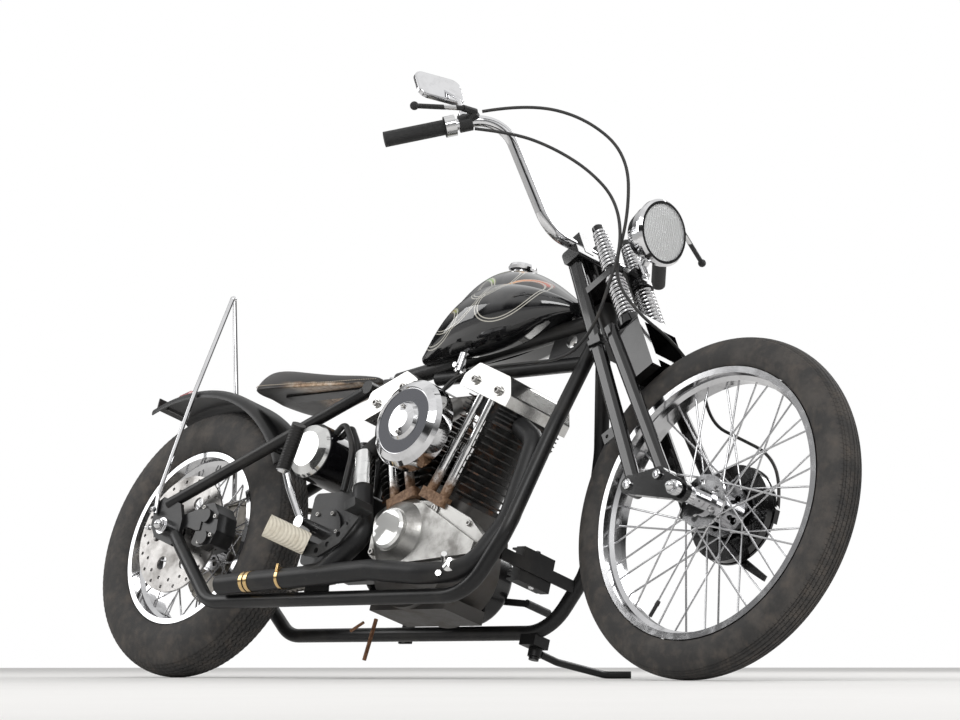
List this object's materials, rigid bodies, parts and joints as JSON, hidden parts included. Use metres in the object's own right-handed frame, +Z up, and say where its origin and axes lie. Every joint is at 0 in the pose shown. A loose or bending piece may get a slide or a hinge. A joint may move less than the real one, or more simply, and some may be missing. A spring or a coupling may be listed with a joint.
{
  "type": "chopper motorcycle",
  "caption": "Rigid-frame chopper with a leading-link spring fork, air-cooled v-twin engine, high handlebar, solo seat and wire wheels, parked on its side stand.",
  "frame": {"origin": "on the floor, under the middle of the whole parked motorcycle", "axes": "+X forward, +Y to the rider's left, +Z up; the motorcycle leans 16.9 degrees to its left on its side stand"},
  "size_m": [2.2688, 0.9707, 1.3297],
  "materials": {
    "frame_black": "satin black enamel",
    "fork_black": "gloss black enamel",
    "chrome": "polished chrome plate, lightly worn",
    "tyre": "dusty black tyre rubber",
    "hose_rubber": "smooth black rubber",
    "grip_rubber": "knurled black rubber",
    "cast_aluminium": "cast, partly polished",
    "fin_black": "black enamelled cast fins",
    "pipe_black": "heat-proof matt black",
    "primary_black": "gloss black enamel",
    "tank_paint": "gloss black with fine striping",
    "seat_leather": "black leather, worn brown at the nose",
    "red_glass": "red lens",
    "chain_steel": "bare steel",
    "peg_cream": "aged cream rubber",
    "lens_glass": "clear fluted glass"
  },
  "bodies": {
    "frame": {"frame_backbone": "frame_black", "frame_right_rail": "frame_black", "frame_left_rail": "frame_black", "frame_rear_stays": "frame_black", "rear_axle": "chrome", "engine_cases": "cast_aluminium", "cam_cover": "cast_aluminium", "cylinders": "fin_black", "rocker_boxes": "cast_aluminium", "pushrod_tubes": "chrome", "air_cleaner": "chrome", "carburettor": "cast_aluminium", "exhaust": "pipe_black", "primary_case": "primary_black", "gearbox": "frame_black", "kick_starter": "chrome", "oil_tank": "primary_black", "oil_hoses": "hose_rubber", "fuel_tank": "tank_paint", "fuel_fittings": "chrome", "solo_seat": "seat_leather", "rear_fender": "frame_black", "sissy_bar": "chrome", "tail_lamp": "red_glass", "drive_chain": "chain_steel", "foot_controls": "peg_cream", "brake_caliper": "frame_black", "regulator": "frame_black", "throttle_cable_lower": "hose_rubber"},
    "stand": {"side_stand": "frame_black"},
    "fork": {"fork_rigid_legs": "fork_black", "fork_spring_legs": "fork_black", "fork_springs": "chrome", "fork_rockers": "fork_black", "handlebar": "chrome", "hand_controls": "grip_rubber", "mirror": "chrome", "headlight": "chrome", "headlight_lens": "lens_glass", "brake_cable": "hose_rubber", "throttle_cable": "hose_rubber", "front_axle": "chrome", "brake_plate": "fork_black"},
    "front_wheel": {"front_tyre": "tyre", "front_rim": "chrome", "front_drum": "fork_black"},
    "rear_wheel": {"rear_tyre": "tyre", "rear_rim": "chrome", "brake_disc": "chain_steel", "rear_sprocket": "chain_steel"}
  },
  "joints": [
    {"name": "steering", "type": "hinge", "parent": "frame", "child": "fork", "pos_m": [0.69723, -0.21695, 0.28765], "axis": [-0.5373, 0.2452, 0.807], "range_deg": [-24.7, 31.3]},
    {"name": "front_wheel_spin", "type": "hinge", "parent": "fork", "child": "front_wheel", "pos_m": [0.78261, -0.20672, 0.34139], "axis": [0.0485, 0.9642, -0.2606], "continuous": true},
    {"name": "rear_wheel_spin", "type": "hinge", "parent": "frame", "child": "rear_wheel", "pos_m": [-0.80375, -0.2072, 0.31973], "axis": [0, 0.9568, -0.2907], "continuous": true},
    {"name": "side_stand_fold", "type": "hinge", "parent": "frame", "child": "stand", "pos_m": [0.22625, -0.13495, 0.05531], "axis": [0, 0.2907, 0.9568], "range_deg": [0, 100]}
  ]
}
